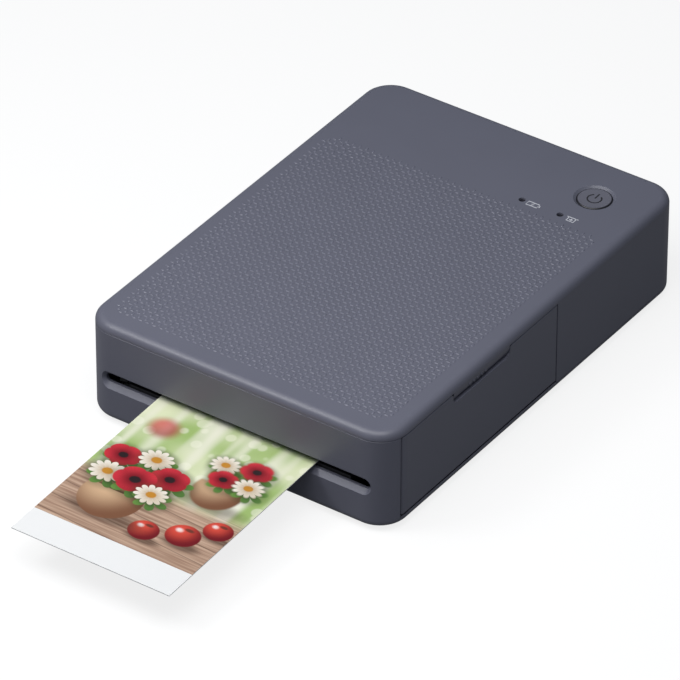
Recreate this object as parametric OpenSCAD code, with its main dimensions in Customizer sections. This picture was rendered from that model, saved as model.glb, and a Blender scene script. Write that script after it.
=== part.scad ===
// Compact photo printer with a card-size print coming out of its front slot.
// A moulded casing with a ribbon-cassette door in its right side and a paper cover in its
// underside holds the rollers, the thermal head, the cassette, the gear train and the electronics.
// X runs to the right, Y to the rear and Z up. The origin lies on the table, under the middle of
// printer and print together.

/* [Body] */
// Overall width of the body
body_w = 102.2; // [100:0.1:125]
// Length of the body, front to rear
body_l = 145.8; // [142:0.1:180]
// Height of the body, from the table to the top face
body_h = 32.9; // [32.9:0.1:42]
// Corner radius in plan
corner_r = 9; // [8:0.1:11]
// Radius round the top and bottom edges
rim_r = 2.4; // [1.5:0.1:2.4]
// Wall thickness of the moulded casing
wall = 1.8; // [1.5:0.1:2]
// Height of the underside above the table
foot_h = 1.1; // [0.8:0.1:2]
// Depth of the top casing's rim over the front panel and the door
rim_h = 2.5; // [2.5:0.1:3.5]
// Joint between two fixed casing pieces
seam = 0.14; // [0.1:0.02:0.3]

/* [Front panel] */
// How far the front panel wraps back round each corner
panel_wrap = 6.5; // [4:0.1:8]
// Length of the print slot at the front face
slot_l = 91.2; // [80:0.1:94]
// Height of the print slot at the front face
slot_h = 5.7; // [5:0.1:7]
// Chamfer round the print slot
slot_chamfer = 1.4; // [0.8:0.1:1.6]
// Height of the slot's centre above the table
slot_z = 14.6; // [13:0.1:18]

/* [Print and paper] */
// Width of the paper
sheet_w = 52.4; // [50:0.1:64]
// Length of the paper, with its tear-off strip
sheet_l = 96.5; // [90:0.1:110]
// Thickness of the paper
sheet_t = 0.25; // [0.2:0.01:0.4]
// How far the print stands out in front of the body
sheet_out = 66.3; // [30:0.1:80]
// Downward tilt of the paper path towards the front
path_angle = 2.2; // [0:0.1:2.5]
// Height of the paper path at the front face
path_z = 14.5; // [14:0.1:16]
// Height of the paper stack in its bay
stack_h = 2.5; // [0.5:0.1:2.7]

/* [Ribbon cassette and its door] */
// Width of the door, front to rear
door_l = 75.4; // [68:0.1:80]
// Gap round the door
door_gap = 0.32; // [0.2:0.02:0.5]
// Distance of the finger notch from the door's front edge
notch_at = 24.2; // [15:0.1:35]
// Length of the finger notch in the door's top edge
notch_l = 27.8; // [20:0.1:32]
// Depth of the finger notch
notch_h = 3.1; // [2:0.1:4]
// How far the rim rolls inwards behind the finger notch
pull_depth = 1.2; // [0.6:0.1:1.4]
// Outer radius of the cassette's spool tubes
tube_r = 5.85; // [5:0.05:5.9]
// Wall thickness of the cassette
tube_wall = 0.9; // [0.6:0.1:1.1]

/* [Power button] */
// Radius of the power button
button_r = 5.1; // [4:0.1:6.5]
// Distance of the button's centre from the middle of the body
button_x = 33; // [28:0.1:35]
// Distance of the button's centre from the rear of the body
button_back = 17.3; // [16:0.1:22]
// Travel of the button
button_travel = 0.5; // [0.3:0.1:0.8]

/* [Drive] */
// Gear module
gear_m = 0.6; // [0.6:0.1:0.6]
// Radius of the capstan roller
capstan_r = 3.2; // [2.8:0.1:3.2]
// Radius of the pinch roller
pinch_r = 2.2; // [1.8:0.1:2.6]
// Radius of the pick-up roller
pickup_r = 2.8; // [2.7:0.1:3]
// Radius of the platen roller
platen_r = 4; // [3.4:0.1:4.2]

/* [Hidden] */
$fn = 72;

// Planes of the casing
front_y = -body_l / 2;
rear_y = body_l / 2;
side_x = body_w / 2;
floor_z = foot_h + wall;
roof_z = body_h - wall;
base_top = foot_h + rim_r;
seam_z = body_h - rim_h;
panel_y = front_y + panel_wrap;
inner_y = front_y + wall;
inner_x = side_x - wall;
big = 400;

// Door: edges, hinge axis near its lower edge, finger notch
door_y0 = panel_y + door_gap;
door_y1 = door_y0 + door_l;
door_bottom = base_top + 0.85;
door_top = seam_z - door_gap;
door_axis = [side_x - 2.2, door_bottom + 2.05];
door_sill = base_top + 0.3;
door_ear_r = 1.9;
door_pin_r = 0.75;
notch_y0 = door_y0 + notch_at;
notch_z = door_top - notch_h;
notch_r = 1.6;
// Front end of the hinge, half a millimetre inside the rounded corner
door_pin_y0 = front_y + corner_r + 0.5
    - sqrt(pow(corner_r, 2) - pow(door_axis[0] + door_pin_r - side_x + corner_r, 2));
// Where the door's front edge meets the outside of the rounded corner
door_front_x = side_x - corner_r
    + sqrt(pow(corner_r, 2) - pow(min(0, door_y0 - front_y - corner_r), 2));
edge_break = 0.2;

// Paper path: a plane that falls towards the front
function path_at(y) = path_z + (y - front_y) * tan(path_angle);
function under_path(y, r) = path_at(y) - (r + sheet_t / 2 + nip) / cos(path_angle);
function over_path(y, r) = path_at(y) + (r + sheet_t / 2 + nip) / cos(path_angle);
nip = 0.12;
guide_gap = 0.35;
guide_t = 0.8;
function guide_bottom(y) = path_at(y) - (sheet_t / 2 + guide_gap + guide_t) / cos(path_angle);

// Paper bay: stack, lift plate and cover
stack_y0 = front_y + 17.9;
stack_y1 = stack_y0 + sheet_l;
stack_z = floor_z + 1.6;
cover_half_w = 36.15;
cover_gap = 0.35;
cover_y0 = front_y + 13.9;
cover_axis = [stack_y1 + 1.6, foot_h + 2.5];
cover_barrel_r = 2.5;
cover_pin_r = 0.75;
rail_x = sheet_w / 2 + 0.5;
rail_t = 1.2;
// Hinge barrels of the cover, from beside the stack to the cover's edges
barrel_x0 = rail_x + 2.4;
barrel_x1 = cover_half_w - 0.05;
lift_y0 = stack_y0 + 1;
lift_y1 = front_y + 64.9;
lift_t = 0.5;
lift_pin_r = 0.45;

// Shafts across the chassis, as [y, z]
plate_x = 40;
plate_t = 1;
shaft_r = 1.5;
run = 0.05;
capstan_at = [front_y + 12.9, under_path(front_y + 12.9, capstan_r)];
pinch_at = [front_y + 12.9, over_path(front_y + 12.9, pinch_r)];
pickup_at = [front_y + 26.9, stack_z + stack_h + 0.2 + pickup_r];
platen_at = [front_y + 41.9, under_path(front_y + 41.9, platen_r)];
cassette_z = 17.3;
spool_z = cassette_z + tube_r;
take_up_at = [front_y + 25.9, spool_z];
supply_at = [front_y + 59.9, spool_z];
pivot_at = [front_y + 71.4, spool_z + 5.45];
cam_at = [front_y + 77.6, spool_z + 0.85];
bush_r = 2.5;
pivot_r = 1.5;
roller_half = 30;
pinch_shaft_r = 1;

// Gears: teeth, then places; every gear meshes with the one that it is placed from
capstan_teeth = 18;
pickup_idler_teeth = 10;
pickup_teeth = 16;
capstan_idler_teeth = 14;
take_up_teeth = 18;
idler_teeth = 24;
reduction_small = 14;
reduction_big = 30;
pinion_teeth = 10;
cam_teeth = 20;
gear_w = 2.5;
plane_a = -(plate_x + plate_t + 0.6) - gear_w;
plane_b = plane_a - 0.3 - gear_w;
stud_r = 1;
function pitch_r(teeth) = teeth * gear_m / 2;
function spacing(a, b) = pitch_r(a) + pitch_r(b);
function polar(r, a) = r * [cos(a), sin(a)];
function heading(a, b) = atan2(b[1] - a[1], b[0] - a[0]);
// Centre at distance ra from a and rb from b, to the left of the line from a to b
function between(a, ra, b, rb) =
    let (d = norm(b - a), t = acos((ra * ra + d * d - rb * rb) / (2 * ra * d)))
    a + polar(ra, heading(a, b) + t);
// Rotation that puts gear b in mesh with gear a, which is turned by pa
function mesh(a, pa, ta, b, tb) =
    let (h = heading(a, b)) h + 180 - 180 / tb + (h - pa) * ta / tb;
pickup_idler_at = between(pickup_at, spacing(pickup_teeth, pickup_idler_teeth),
    capstan_at, spacing(capstan_teeth, pickup_idler_teeth));
capstan_idler_at = between(capstan_at, spacing(capstan_teeth, capstan_idler_teeth),
    take_up_at, spacing(capstan_idler_teeth, take_up_teeth));
chain_heading = -7;
front_idler_at = take_up_at + polar(spacing(take_up_teeth, idler_teeth), chain_heading);
middle_idler_at = front_idler_at + polar(spacing(idler_teeth, idler_teeth), chain_heading);
rear_idler_at = middle_idler_at + polar(spacing(idler_teeth, idler_teeth), chain_heading);
reduction_at = rear_idler_at + polar(spacing(idler_teeth, reduction_small), chain_heading);
motor_at = reduction_at + polar(spacing(reduction_big, pinion_teeth), 42);
lift_motor_at = cam_at + [spacing(cam_teeth, pinion_teeth), 0];
capstan_phase = 0;
pickup_idler_phase = mesh(capstan_at, capstan_phase, capstan_teeth, pickup_idler_at,
    pickup_idler_teeth);
pickup_phase = mesh(pickup_idler_at, pickup_idler_phase, pickup_idler_teeth, pickup_at,
    pickup_teeth);
capstan_idler_phase = mesh(capstan_at, capstan_phase, capstan_teeth, capstan_idler_at,
    capstan_idler_teeth);
take_up_phase = mesh(capstan_idler_at, capstan_idler_phase, capstan_idler_teeth, take_up_at,
    take_up_teeth);
front_idler_phase = mesh(take_up_at, take_up_phase, take_up_teeth, front_idler_at, idler_teeth);
middle_idler_phase = mesh(front_idler_at, front_idler_phase, idler_teeth, middle_idler_at,
    idler_teeth);
rear_idler_phase = mesh(middle_idler_at, middle_idler_phase, idler_teeth, rear_idler_at,
    idler_teeth);
reduction_phase = mesh(rear_idler_at, rear_idler_phase, idler_teeth, reduction_at,
    reduction_small);
pinion_phase = mesh(reduction_at, 0, reduction_big, motor_at, pinion_teeth);
lift_pinion_phase = mesh(cam_at, 0, cam_teeth, lift_motor_at, pinion_teeth);

// Thermal head and its lever
stay_z = spool_z + 6.55;
stay_t = 1;
flange_x = 36.5;
head_half = 33;
head_bottom = cassette_z + 1.6;
cam_r = 2.9;
cam_throw = 0.3;

// Cassette
cassette_half = 35;
grip_x = side_x - 3.7;
supply_roll_r = 4.5;
take_up_roll_r = 4;
core_r = 3.4;
core_bore = 2.6;
film_t = 0.15;
film_z = cassette_z + 0.25;

// Rear bay: battery, board, sockets
bay_y0 = front_y + 95.9;
bay_y1 = rear_y - 4.9;
shelf_z = path_at(bay_y1) + 2.08;
board_z = roof_z - 8.1;
board_t = 1.2;
board_x0 = 14.5;
board_x1 = 42.3;
button_at = [button_x, rear_y - button_back];
button_floor = 0.55;
button_gap = 0.16;
button_dish_r = 60;
lamp_r = 1;
lamp_depth = 0.6;
lamp_at = [[16.9, rear_y - 29.8], [29.7, rear_y - 29.9]];
usb_x = 30;
boss_at = [[-45.3, front_y + 98.9], [45.3, front_y + 98.9], [-45.3, rear_y - 10.9],
    [45.3, rear_y - 10.9]];
boss_r = 2.4;
screw_r = 0.9;
screw_head_r = 1.7;
tongue_at = [[-44, front_y + 4.4], [44, front_y + 4.4]];
foot_at = [[-41, front_y + 17], [41, front_y + 17], [-41, rear_y - 17], [41, rear_y - 17]];
foot_r = 4;
post_at = [[-42.2, front_y + 106.9], [42.2, front_y + 106.9], [-42.2, rear_y - 22],
    [42.2, rear_y - 22]];
post_r = 2.2;
upper_gap = sheet_t / 2 + 1;

body_grey = [0.37, 0.38, 0.43];
dark_plastic = [0.14, 0.14, 0.15];
steel = [0.72, 0.73, 0.75];
acetal = [0.88, 0.87, 0.82];
rubber = [0.1, 0.1, 0.1];

// Shared forms

// Puts a piece that is drawn round the body's middle into the part's frame
module placed() {
    translate([0, sheet_out / 2, 0]) children();
}

// Axis of the child's extrusion turned along X; its own x and y become Y and Z
module along_x(x, at) {
    translate([x, at[0], at[1]]) rotate([90, 0, 90]) children();
}

// Axis of the child's extrusion turned along Y
module along_y(y, x, z) {
    translate([x, y, z]) rotate([-90, 0, 0]) children();
}

module box(x, y, z) {
    translate([x[0], y[0], z[0]]) cube([x[1] - x[0], y[1] - y[0], z[1] - z[0]]);
}

module rounded_rect(w, l, r) {
    square([w - 2 * r, l], center = true);
    square([w, l - 2 * r], center = true);
    for (x = [-1, 1], y = [-1, 1]) translate([x * (w / 2 - r), y * (l / 2 - r)]) circle(r);
}

// A slot outline: straight sides and round ends
module stadium(l, h) {
    square([l - h, h], center = true);
    for (x = [-1, 1]) translate([x * (l - h) / 2, 0]) circle(h / 2);
}

// A rod or roller along X between two places
module rod(x, at, r) {
    along_x(x[0], at) cylinder(r = r, h = x[1] - x[0]);
}

// Moves to the paper path: y along it from the front face, z square to the sheet
module on_path() {
    translate([0, front_y, path_z]) rotate([path_angle, 0, 0]) children();
}

// Straight-flanked gear teeth with running backlash
tooth_top = 0.85 * gear_m;
tooth_root = 1.15 * gear_m;
backlash = 0.2;
module gear(teeth, phase, h) {
    rp = pitch_r(teeth);
    half = (PI * gear_m / 2 - backlash) / 2;
    root = [rp - tooth_root, (half + tooth_root * tan(20)) * 180 / PI / (rp - tooth_root)];
    tip = [rp + tooth_top, (half - tooth_top * tan(20)) * 180 / PI / (rp + tooth_top)];
    corners = [[root[0], -root[1]], [tip[0], -tip[1]], tip, root];
    linear_extrude(h) polygon([for (i = [0:teeth - 1], c = corners)
        polar(c[0], phase + i * 360 / teeth + c[1])]);
}

// Gear on a stud: teeth, hub and bore
module idler(at, teeth, phase) {
    along_x(plane_a, at) difference() {
        union() {
            gear(teeth, phase, gear_w);
            translate([0, 0, gear_w]) cylinder(r = stud_r + 0.9, h = 0.4);
        }
        translate([0, 0, -1]) cylinder(r = stud_r + run, h = gear_w + 3);
        if (teeth > 16) gear_web(teeth);
    }
}

// Recess in a large gear's outer face
module gear_web(teeth) {
    translate([0, 0, -1]) difference() {
        cylinder(r = pitch_r(teeth) - 1.9, h = 1.8);
        cylinder(r = stud_r + 1.1, h = 5);
    }
}

// Casing

// Half-section of the casing's edge, from the corner axis outwards
module edge_section() {
    h = body_h - foot_h;
    translate([0, foot_h]) square([corner_r - rim_r, h]);
    translate([0, foot_h + rim_r]) square([corner_r, h - 2 * rim_r]);
    for (z = [foot_h + rim_r, body_h - rim_r]) translate([corner_r - rim_r, z]) circle(rim_r);
}

// Outer form of the closed casing, with all its edges rounded
module casing_block() {
    hx = side_x - corner_r;
    hy = rear_y - corner_r;
    rotate([90, 0, 90]) linear_extrude(2 * hx, center = true) {
        translate([-hy, foot_h]) square([2 * hy, body_h - foot_h]);
        translate([hy, 0]) edge_section();
        mirror([1, 0]) translate([hy, 0]) edge_section();
    }
    for (x = [0, 1]) mirror([x, 0, 0]) {
        translate([hx, 0, 0]) rotate([90, 0, 0])
            linear_extrude(2 * hy, center = true) edge_section();
        for (y = [0, 1]) mirror([0, y, 0])
            translate([hx, hy, 0]) rotate_extrude(angle = 90) edge_section();
    }
}

module casing_shell() {
    difference() {
        casing_block();
        translate([0, 0, floor_z]) linear_extrude(roof_z - floor_z)
            rounded_rect(2 * inner_x, 2 * (rear_y - wall), corner_r - wall);
    }
}

// Everything outside the roll that carries the rim's curve inwards, down to the notch in the
// door, so that a fingertip gets behind the door's edge
module finger_pull() {
    h = seam_z - notch_z;
    roll_r = (h * h + pull_depth * pull_depth) / (2 * pull_depth);
    translate([0, notch_y0 + notch_l, 0]) rotate([90, 0, 0]) linear_extrude(notch_l)
        difference() {
            translate([side_x - 2 * pull_depth, notch_z - 0.5])
                square([2 * pull_depth + 1, h + 0.5]);
            translate([side_x - roll_r, seam_z]) circle(roll_r);
        }
}

// A bar with a square section on edge, along Y or X; it takes the edge off a moulding
module edge_bar(l) {
    linear_extrude(l) rotate(45) square(edge_break * sqrt(2), center = true);
}

module top_casing() color(body_grey) placed() {
    skirt = [notch_y0 + door_gap, notch_y0 + notch_l - door_gap];
    difference() {
        union() {
            difference() {
                casing_shell();
                box([-big, big], [-big, panel_y], [-big, seam_z]);
                box([plate_x, big], [-big, door_y1 + door_gap], [-big, seam_z]);
                box([-big, big], [-big, big], [-big, base_top]);
            }
            // Skirt that fills the finger notch
            intersection() {
                casing_block();
                along_x(inner_x - 0.4, [notch_y0 + notch_l / 2, notch_z + door_gap + 3])
                    linear_extrude(side_x - inner_x + 0.4)
                    rounded_rect(notch_l - 2 * door_gap, 6, notch_r - door_gap);
            }
            box([inner_x - 1.9, inner_x - 0.3], skirt, [notch_z + door_gap, roof_z + 0.5]);
            // Screw bosses and the ribs that tie them to the side walls
            for (p = boss_at) {
                translate([p[0], p[1], floor_z + 0.1]) cylinder(r = boss_r, h = roof_z - floor_z);
                box([min(p[0], sign(p[0]) * inner_x) - 0.3, max(p[0], sign(p[0]) * inner_x) + 0.3],
                    [p[1] - 0.6, p[1] + 0.6], [base_top + 3, roof_z + 0.3]);
            }
            // Socket for the rear end of the door's hinge
            box([inner_x - 2.6, side_x - 0.6], [door_y1 + door_gap, door_y1 + door_gap + 3.6],
                [door_axis[1] - 2.1, door_axis[1] + 2.1]);
            // Collar round the power button
            translate([button_at[0], button_at[1], roof_z - 1.4])
                cylinder(r = button_r + 2.3, h = 1.6);
        }
        finger_pull();
        along_y(door_y1 - 1, door_axis[0], door_axis[1]) cylinder(r = door_pin_r + run, h = 3.9);
        for (p = boss_at) translate([p[0], p[1], 0]) cylinder(r = screw_r + 0.02, h = 12);
        // Button hole: dished mouth, bore and room for its flange
        translate([button_at[0], button_at[1], 0]) {
            translate([0, 0, roof_z - 3]) cylinder(r = button_r + button_gap, h = 10);
            translate([0, 0, body_h - button_floor])
                cylinder(r1 = button_r + 0.25, r2 = button_r + 1, h = button_floor + 0.01);
            translate([0, 0, roof_z - 3]) cylinder(r = button_r + 1.2, h = 3);
        }
        for (p = lamp_at) translate([p[0], p[1], roof_z - 1]) cylinder(r = lamp_r + 0.03, h = 5);
        // Socket opening in the rear wall
        usb_opening();
    }
}

// Rounded mouth for the power plug, with a shallow recess round it
module usb_opening() {
    translate([usb_x, rear_y - wall - 0.5, board_z + board_t + 1.6]) rotate([-90, 0, 0]) {
        linear_extrude(wall + 1) stadium(9.4, 3.6);
        translate([0, 0, wall - 0.1]) linear_extrude(2) stadium(12.4, 6.4);
    }
}

module front_panel() color(body_grey) placed() {
    difference() {
        union() {
            intersection() {
                casing_shell();
                box([-big, big], [front_y - 1, panel_y - seam], [-1, seam_z - seam]);
            }
            // Socket for the front end of the door's hinge
            intersection() {
                casing_block();
                box([inner_x - 2.9, side_x], [panel_y - 3.8, panel_y - seam],
                    [door_axis[1] - 2.1, door_axis[1] + 2.1]);
            }
            // Frame round the inside of the slot
            box([-slot_l / 2 - 0.6, slot_l / 2 + 0.6], [inner_y - 0.5, inner_y + 0.55],
                [slot_z - slot_h / 2, slot_z + slot_h / 2 + 1.2]);
        }
        print_slot();
        along_y(door_pin_y0 - 0.1, door_axis[0], door_axis[1])
            cylinder(r = door_pin_r + run, h = 9);
        // Upper edge, broken along the front and round both corners
        translate([corner_r - side_x, front_y, seam_z - seam]) rotate([90, 0, 90])
            edge_bar(body_w - 2 * corner_r);
        for (x = [0, 1]) mirror([x, 0, 0])
            translate([side_x - corner_r, front_y + corner_r, seam_z - seam])
                rotate([0, 0, -90]) rotate_extrude(angle = 90) translate([corner_r, 0])
                    rotate(45) square(edge_break * sqrt(2), center = true);
        for (p = tongue_at) translate([p[0], p[1], 0]) {
            cylinder(r = screw_r + 0.3, h = 6);
            cylinder(r = screw_head_r + 0.3, h = foot_h + 0.9);
        }
    }
}

// The slot: a rounded opening that flares through a chamfer to the front face
module print_slot() {
    inner_h = slot_h - 2 * slot_chamfer;
    inner_l = slot_l - 2 * slot_chamfer;
    translate([0, front_y, slot_z]) rotate([-90, 0, 0]) {
        translate([0, 0, -1]) linear_extrude(wall + 4) stadium(inner_l, inner_h);
        half = slot_l / 2 - slot_h / 2;
        for (x = [-1, 1]) translate([x * half, 0, -0.01])
            cylinder(r1 = slot_h / 2, r2 = inner_h / 2, h = slot_chamfer);
        rotate([90, 0, 90]) linear_extrude(2 * half, center = true)
            polygon([[-slot_h / 2, -0.01], [slot_h / 2, -0.01], [inner_h / 2, slot_chamfer],
                [-inner_h / 2, slot_chamfer]]);
    }
    // Flare where the slot's ends run into the rounded corners
    translate([0, front_y - 3, slot_z]) rotate([-90, 0, 0]) linear_extrude(3)
        stadium(slot_l, slot_h);
}

module base_tray() color(body_grey) placed() {
    lip = 0.15;
    difference() {
        union() {
            difference() {
                casing_shell();
                box([-big, big], [-big, panel_y], [-big, big]);
                box([-big, big], [-big, big], [base_top - seam, big]);
            }
            // Sill under the door
            intersection() {
                casing_block();
                box([inner_x, big], [door_y0, door_y1], [foot_h + 0.5, door_sill]);
            }
            // Lip that locates the top casing from inside
            difference() {
                translate([0, 0, floor_z - 0.4]) linear_extrude(3.6)
                    rounded_rect(2 * (inner_x - lip), 2 * (rear_y - wall - lip),
                        corner_r - wall - lip);
                translate([0, 0, floor_z - 1]) linear_extrude(6)
                    rounded_rect(2 * (inner_x - lip - 1), 2 * (rear_y - wall - lip - 1),
                        corner_r - wall - lip - 1);
                box([-big, big], [-big, panel_y + 1], [-big, big]);
                box([0, big], [-big, door_y1 + 5], [floor_z, big]);
                for (p = boss_at) box([p[0] - 8, p[0] + 8], [p[1] - 1.4, p[1] + 1.4],
                    [base_top + 2, big]);
            }
            // Tongues under the front panel's screws
            for (p = tongue_at) {
                translate([p[0], p[1], floor_z]) cylinder(r = 2.2, h = 2.2);
                box([p[0] - 2.2, p[0] + 2.2], [p[1], panel_y + 3], [floor_z, floor_z + 1.4]);
                box([p[0] - 2.2, p[0] + 2.2], [panel_y + 0.2, panel_y + 3],
                    [floor_z - 0.5, floor_z + 1.4]);
            }
            // Posts that carry the upper guide, each with a ledge for the lower one
            for (p = post_at) {
                translate([p[0], p[1], floor_z - 0.5])
                    cylinder(r = post_r, h = path_at(p[1] - post_r) + upper_gap - floor_z + 0.5);
                box([min(p[0], p[0] - sign(p[0]) * 3.7), max(p[0], p[0] - sign(p[0]) * 3.7)],
                    [p[1] - post_r, p[1] + post_r], [floor_z - 0.5, guide_bottom(p[1] - post_r)]);
            }
            // Lugs of the paper cover's hinge
            for (x = [-1, 1]) intersection() {
                union() {
                    rod([x * 37.7 - 1, x * 37.7 + 1], cover_axis, 2.2);
                    box([x * 37.7 - 1, x * 37.7 + 1],
                        [cover_axis[0] - 2.2, cover_axis[0] + 2.2],
                        [floor_z - 0.5, cover_axis[1]]);
                }
                box([-big, big], [-big, big], [foot_h + 0.5, big]);
            }
        }
        // Opening that the paper cover closes
        box([-cover_half_w - cover_gap, cover_half_w + cover_gap],
            [cover_y0 - cover_gap, cover_axis[0] + cover_barrel_r + 0.4], [-1, floor_z + 1]);
        for (x = [-1, 1]) rod([x * 37 - 3, x * 37 + 3], cover_axis, cover_pin_r + 0.02);
        // Room for the door's lower edge as it turns
        along_y(door_y0 - 1, door_axis[0], door_axis[1]) cylinder(r = 3.25, h = door_l + 1.2);
        for (p = foot_at) translate([p[0], p[1], 0]) cylinder(r = foot_r + 0.05, h = foot_h + 0.6);
        for (p = boss_at) translate([p[0], p[1], 0]) {
            cylinder(r = screw_r + 0.3, h = 6);
            cylinder(r = screw_head_r + 0.3, h = foot_h + 0.9);
        }
        for (p = tongue_at) translate([p[0], p[1], 0]) cylinder(r = screw_r + 0.02, h = 12);
    }
}

module cassette_door() color(body_grey) placed() {
    difference() {
        union() {
            intersection() {
                casing_shell();
                box([plate_x, big], [door_y0, door_y1], [door_bottom, door_top]);
            }
            // Ears round the hinge pins
            for (y = [door_y0, door_y1 - 4]) along_y(y, door_axis[0], door_axis[1])
                cylinder(r = door_ear_r, h = 4);
            // Stiffening ribs
            for (i = [1:4]) box([inner_x - 0.9, inner_x + 0.3],
                [door_y0 + i * door_l / 5 - 0.4, door_y0 + i * door_l / 5 + 0.4],
                [door_bottom + 3, notch_z - 1.5]);
            box([inner_x - 0.7, inner_x + 0.3], [door_y0 + 4.5, door_y1 - 1.2],
                [notch_z - 2, notch_z - 1.1]);
        }
        finger_notch();
        // Broken edges: top, notch, foot, front and rear
        along_y(door_y0 - 1, side_x, door_top) edge_bar(notch_y0 - door_y0);
        along_y(notch_y0 + notch_l + 0.9, side_x, door_top) edge_bar(door_l);
        along_y(notch_y0 + notch_r, side_x, notch_z) edge_bar(notch_l - 2 * notch_r);
        along_y(door_y0 - 1, side_x, door_bottom) edge_bar(door_l + 2);
        translate([door_front_x, door_y0, 0]) edge_bar(body_h);
        translate([side_x, door_y1, 0]) edge_bar(body_h);
        for (y = [door_y0, door_y1 - 4]) along_y(y - 1, door_axis[0], door_axis[1])
            cylinder(r = door_pin_r + 0.02, h = 6);
    }
}

// Notch in the door's top edge: rounded at the foot, flared at the top
module finger_notch() {
    along_x(inner_x - 5, [0, 0]) linear_extrude(10) {
        translate([notch_y0 + notch_l / 2, notch_z + 5]) rounded_rect(notch_l, 10, notch_r);
        for (s = [0, 1]) translate([notch_y0 + s * notch_l, door_top]) mirror([s, 0])
            difference() {
                translate([-0.9, -0.9]) square([1, 2]);
                translate([-0.9, -0.9]) circle(0.9);
            }
    }
}

module door_hinge_pins() color(steel) placed() {
    along_y(door_pin_y0, door_axis[0], door_axis[1])
        cylinder(r = door_pin_r, h = door_y0 + 3.8 - door_pin_y0);
    along_y(door_y1 - 3.8, door_axis[0], door_axis[1]) cylinder(r = door_pin_r, h = 6.4);
}

// Paper cover, with the rails that guide the stack
module paper_cover() color(body_grey) placed() {
    hinge_y = cover_axis[0];
    difference() {
        union() {
            box([-cover_half_w, cover_half_w], [cover_y0, hinge_y], [foot_h, floor_z]);
            intersection() {
                rod([-cover_half_w, cover_half_w], cover_axis, cover_barrel_r);
                box([-big, big], [hinge_y - 1, big], [foot_h, floor_z]);
            }
            for (x = [-1, 1]) {
                rod([min(x * barrel_x0, x * barrel_x1), max(x * barrel_x0, x * barrel_x1)],
                    cover_axis, cover_barrel_r);
                box([x * (rail_x + rail_t / 2) - rail_t / 2, x * (rail_x + rail_t / 2) + rail_t / 2],
                    [stack_y0 - 1, hinge_y - 4], [floor_z - 0.5, stack_z + stack_h + 0.3]);
                box([x * 33 - 0.5, x * 33 + 0.5], [cover_y0 + 3, hinge_y - 2],
                    [floor_z - 0.5, floor_z + 1.2]);
            }
            for (i = [0:3]) box([-rail_x, rail_x],
                [lift_y1 + 6 + i * 10, lift_y1 + 6.8 + i * 10], [floor_z - 0.5, stack_z - 0.3]);
        }
        for (x = [-1, 1]) {
            rod([min(x * (barrel_x0 - 0.1), x * 37), max(x * (barrel_x0 - 0.1), x * 37)],
                cover_axis, cover_pin_r + run);
            rod([x * (rail_x + 1.3) - 3, x * (rail_x + 1.3) + 3],
                [lift_y1, stack_z - lift_t - 0.25], lift_pin_r + run);
        }
        // Finger pull in the underside
        translate([0, cover_y0, foot_h - 0.7]) scale(1) sphere(r = 6);
        box([-7, 7], [cover_y0 - 1, cover_y0 + 1.2], [-1, foot_h + 0.8]);
    }
}

// Pins through two thirds of each barrel, held in the base tray
module paper_cover_pins() color(steel) placed() {
    inner = barrel_x1 - (barrel_x1 - barrel_x0) * 2 / 3;
    outer = cover_half_w + 2.45;
    for (x = [-1, 1])
        rod([min(x * inner, x * outer), max(x * inner, x * outer)], cover_axis, cover_pin_r);
}

module rubber_feet() color(rubber) placed() {
    for (p = foot_at) translate([p[0], p[1], 0]) {
        cylinder(r1 = foot_r - 0.4, r2 = foot_r, h = 0.4);
        translate([0, 0, 0.4]) cylinder(r = foot_r, h = foot_h + 0.2);
    }
}

module casing_screws() color(steel) placed() {
    for (p = concat(boss_at, tongue_at)) translate([p[0], p[1], foot_h + 0.3]) {
        difference() {
            cylinder(r = screw_head_r, h = 0.6);
            for (a = [45, 135]) rotate(a) cube([2, 0.45, 0.8], center = true);
        }
        cylinder(r = screw_r, h = 3.4);
    }
}

module power_button() color(body_grey) placed() {
    translate([button_at[0], button_at[1], 0]) {
        difference() {
            union() {
                translate([0, 0, roof_z - 1.6])
                    cylinder(r = button_r, h = button_top - edge_break - roof_z + 1.6);
                translate([0, 0, button_top - edge_break])
                    cylinder(r1 = button_r, r2 = button_r - edge_break, h = edge_break);
            }
            translate([0, 0, button_top + button_dish_r - 0.16]) sphere(r = button_dish_r);
        }
        translate([0, 0, roof_z - 2.6]) cylinder(r = button_r + 0.9, h = 1);
        translate([0, 0, switch_top + button_travel + 0.15])
            cylinder(r = 1.6, h = roof_z - 2.4 - switch_top - button_travel - 0.15);
    }
}
switch_top = board_z + board_t + 2.6;
button_top = body_h - 0.3;

// Two light pipes for the charge and status lamps
module status_lights() color([0.06, 0.06, 0.07]) placed() {
    for (p = lamp_at) translate([p[0], p[1], board_z + board_t + 0.7]) {
        cylinder(r = lamp_r, h = body_h - lamp_depth - board_z - board_t - 0.7);
        cylinder(r = 1.5, h = 1.2);
    }
}

// Chassis

// Outline of a side plate, with a foot flange on its outer side
module side_plate(s) {
    y0 = front_y + 7.9;
    y1 = front_y + 94.9;
    top = spool_z + 7.55;
    x = [min(s * plate_x, s * (plate_x + plate_t)), max(s * plate_x, s * (plate_x + plate_t))];
    difference() {
        union() {
            box(x, [y0, y1], [floor_z, path_z + 6.6]);
            box(x, [y0 + 10, y1], [floor_z, top]);
            box([min(s * plate_x, s * (plate_x + 5)), max(s * plate_x, s * (plate_x + 5))],
                [y0 + 22, y1], [floor_z, floor_z + 0.7]);
        }
        for (p = [capstan_at, pickup_at, platen_at, cam_at]) rod([x[0] - 1, x[1] + 1], p, bush_r);
        rod([x[0] - 1, x[1] + 1], pinch_at, pinch_shaft_r + run);
        rod([x[0] - 1, x[1] + 1], pivot_at, pivot_r + 0.01);
    }
}

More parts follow.
